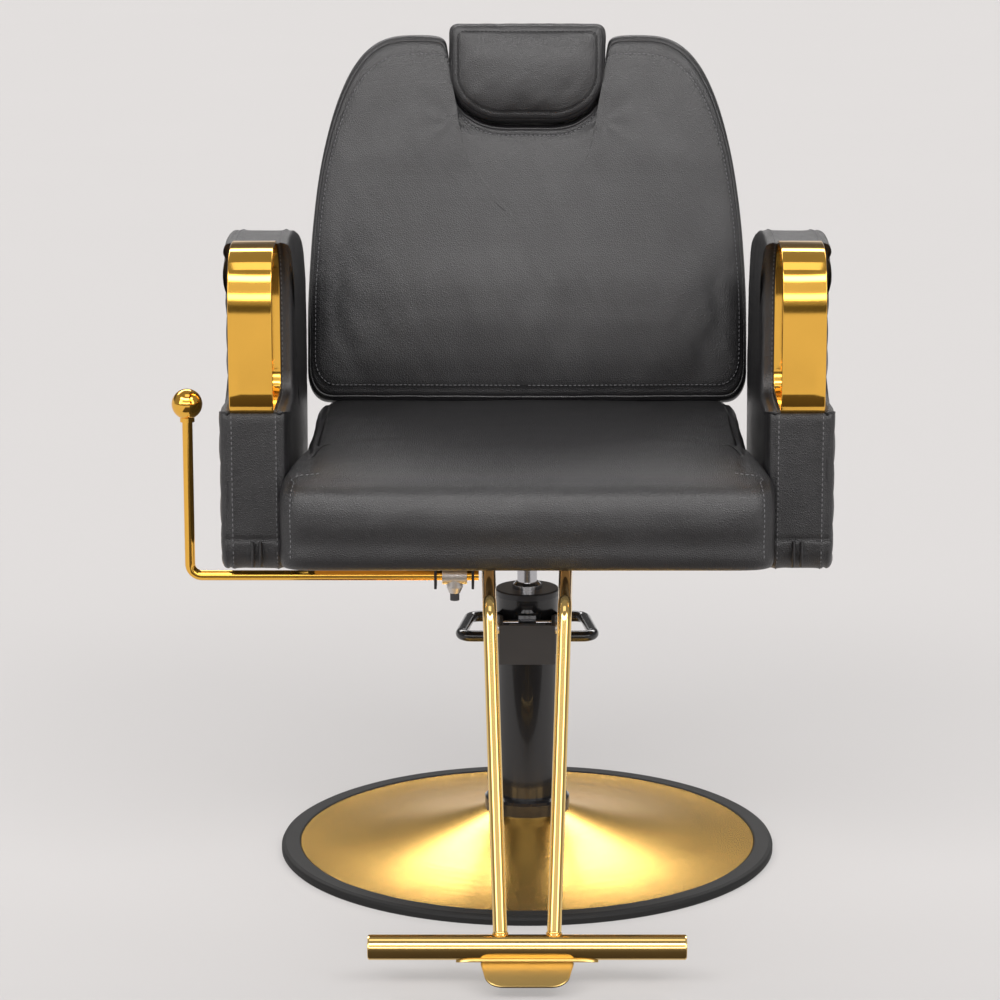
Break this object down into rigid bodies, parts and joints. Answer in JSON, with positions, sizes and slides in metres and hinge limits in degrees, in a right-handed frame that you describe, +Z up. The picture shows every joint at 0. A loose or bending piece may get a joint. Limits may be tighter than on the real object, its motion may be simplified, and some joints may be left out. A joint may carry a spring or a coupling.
{
  "type": "hydraulic barber chair",
  "caption": "Padded reclining chair on a round base, with a foot-pumped lifting column, swivel, footrest, padded arms and headrest.",
  "frame": {"origin": "on the floor, on the column's axis, under the middle of the round base", "axes": "+Z up along the column, -Y the way the sitter faces, +X to the sitter's left"},
  "size_m": [0.769, 0.9205, 0.9743],
  "materials": {
    "black_rubber": "matte",
    "gold_dish": "brushed satin",
    "gold_polished": "mirror plated",
    "cast_black": "painted",
    "black_gloss": "gloss enamel",
    "black_satin": "satin powder coat",
    "zinc": "zinc plated",
    "chrome": "polished",
    "bronze": "machined",
    "steel": "machined",
    "seal_rubber": "smooth",
    "plywood": "raw",
    "leather": "fine grain",
    "cast_silver": "satin cast",
    "grey_plastic": "matte"
  },
  "bodies": {
    "root": {"base_rim": "black_rubber", "base_dish": "gold_dish", "base_hub": "cast_black", "hub_bolts": "zinc", "base_collar": "black_gloss", "thrust_washer": "bronze"},
    "pump": {"pump_cylinder": "black_gloss", "pump_barrel": "steel", "pump_cap": "black_gloss", "rod_gland": "chrome", "retaining_ring": "steel", "pump_block": "cast_black", "lever_pin": "zinc"},
    "plunger": {"plunger": "chrome"},
    "pedal": {"pedal_yoke": "black_satin", "pedal_loop": "black_gloss"},
    "seat": {"piston_rod": "chrome", "piston": "steel", "piston_seal": "seal_rubber", "mount_plate": "black_satin", "plate_bolts": "zinc", "cross_bars": "black_satin", "seat_rails": "black_satin", "seat_board": "plywood", "seat_cushion": "leather", "arm_pad_left": "leather", "arm_pad_right": "leather", "arm_band_left": "gold_polished", "arm_band_right": "gold_polished", "arm_brackets": "black_satin", "arm_bolts": "zinc", "footrest_tube_left": "gold_polished", "footrest_tube_right": "gold_polished", "footrest_bar": "gold_polished", "footrest_caps": "gold_polished", "toe_plate": "gold_polished", "hinge_brackets": "black_satin", "lever_bracket": "black_satin", "release_head": "cast_silver", "release_plug": "grey_plastic", "gas_rod": "chrome"},
    "gas_spring": {"gas_cylinder": "black_gloss", "gas_pin": "zinc"},
    "lever": {"recline_rod": "gold_polished", "lever_ball": "gold_polished"},
    "back": {"hinge_shaft": "zinc", "shaft_clips": "steel", "crank": "black_satin", "back_straps": "black_satin", "back_board": "plywood", "back_cushion": "leather", "back_cover": "leather", "post_guides": "grey_plastic"},
    "headrest": {"headrest_pad": "leather", "headrest_plate": "black_satin", "headrest_posts": "chrome"}
  },
  "joints": [
    {"name": "swivel", "type": "hinge", "parent": "root", "child": "pump", "pos_m": [0, 0, 0.053], "axis": [0, 0, 1], "continuous": true},
    {"name": "pedal_hinge", "type": "hinge", "parent": "pump", "child": "pedal", "pos_m": [0, -0.078, 0.296], "axis": [-1, 0, 0], "range_deg": [0, 18], "stiffness_Nm_per_rad": 6, "springref_deg": -34.38},
    {"name": "plunger_slide", "type": "slide", "parent": "pump", "child": "plunger", "axis": [0, 0, -1], "range_m": [0, 0.0085]},
    {"name": "lift", "type": "slide", "parent": "pump", "child": "seat", "axis": [0, 0, 1], "range_m": [0, 0.15]},
    {"name": "recline", "type": "hinge", "parent": "seat", "child": "back", "pos_m": [0, 0.235, 0.436], "axis": [-1, 0, 0], "range_deg": [0, 40]},
    {"name": "gas_slide", "type": "slide", "parent": "seat", "child": "gas_spring", "axis": [0, -1, 0], "range_m": [0, 0.05146]},
    {"name": "lever_turn", "type": "hinge", "parent": "seat", "child": "lever", "pos_m": [-0.0855, -0.1, 0.366], "axis": [-1, 0, 0], "range_deg": [0, 20], "stiffness_Nm_per_rad": 2, "springref_deg": -28.65},
    {"name": "headrest_slide", "type": "slide", "parent": "back", "child": "headrest", "axis": [0, 0.2215, 0.9751], "range_m": [0, 0.08]}
  ],
  "couplings": [
    {"joint": "plunger_slide", "follows": "pedal_hinge", "m_per_rad": 0.026},
    {"joint": "gas_slide", "follows": "recline", "m_per_rad": 0.072989}
  ]
}
